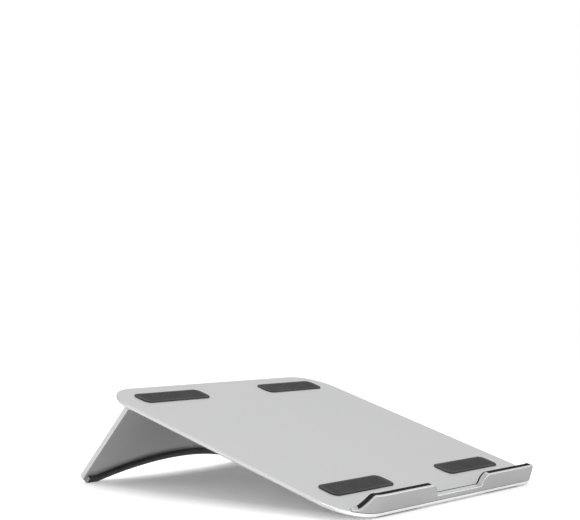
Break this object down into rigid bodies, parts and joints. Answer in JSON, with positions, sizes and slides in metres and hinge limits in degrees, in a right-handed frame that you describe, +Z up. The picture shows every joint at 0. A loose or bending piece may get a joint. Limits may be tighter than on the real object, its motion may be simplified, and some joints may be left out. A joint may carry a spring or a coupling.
{
  "type": "folding laptop stand",
  "caption": "Folding laptop stand: sloping flat tray with a notched front lip that stops the laptop, and a hinged rear leg that folds flat beneath the tray.",
  "frame": {"origin": "centre of the footprint on the desk, stand opened", "axes": "+X to the user's right along the hinge, +Y to the rear, from the lip to the leg, +Z up"},
  "size_m": [0.227, 0.2546, 0.0669],
  "materials": {
    "tray_aluminium": "bead-blasted and clear anodised, with a smooth rounded edge",
    "lip_aluminium": "bead-blasted and clear anodised, satin",
    "leg_aluminium": "bead-blasted and clear anodised, satin",
    "bracket_aluminium": "machined and clear anodised",
    "black_rubber": "moulded matt black rubber",
    "pad_silicone": "moulded silicone with a fine matt texture",
    "screw_steel": "nickel-plated steel",
    "pin_steel": "ground stainless steel",
    "spring_steel": "spring steel, plain",
    "bush_acetal": "natural acetal, matt",
    "cap_plastic": "grey moulded plastic, matt"
  },
  "bodies": {
    "tray": {"tray_plate": "tray_aluminium", "front_lip": "lip_aluminium", "lip_liner": "black_rubber", "lip_screws": "screw_steel", "bracket_screws": "screw_steel", "hinge_pin": "pin_steel", "friction_washers": "spring_steel", "front_pad_left": "pad_silicone", "rear_pad_left": "pad_silicone", "front_foot_left": "black_rubber", "hinge_bracket_left": "bracket_aluminium", "front_pad_right": "pad_silicone", "rear_pad_right": "pad_silicone", "front_foot_right": "black_rubber", "hinge_bracket_right": "bracket_aluminium"},
    "leg": {"leg_plate": "leg_aluminium", "leg_rubber_strip": "black_rubber", "outer_bush_left": "bush_acetal", "outer_bush_right": "bush_acetal", "inner_bush_left": "bush_acetal", "inner_bush_right": "bush_acetal", "pin_cap_left": "cap_plastic", "pin_cap_right": "cap_plastic"}
  },
  "joints": [
    {"name": "leg_fold", "type": "hinge", "parent": "tray", "child": "leg", "pos_m": [0, 0.07757, 0.05714], "axis": [-1, 0, 0], "range_deg": [0, 114.3]}
  ]
}
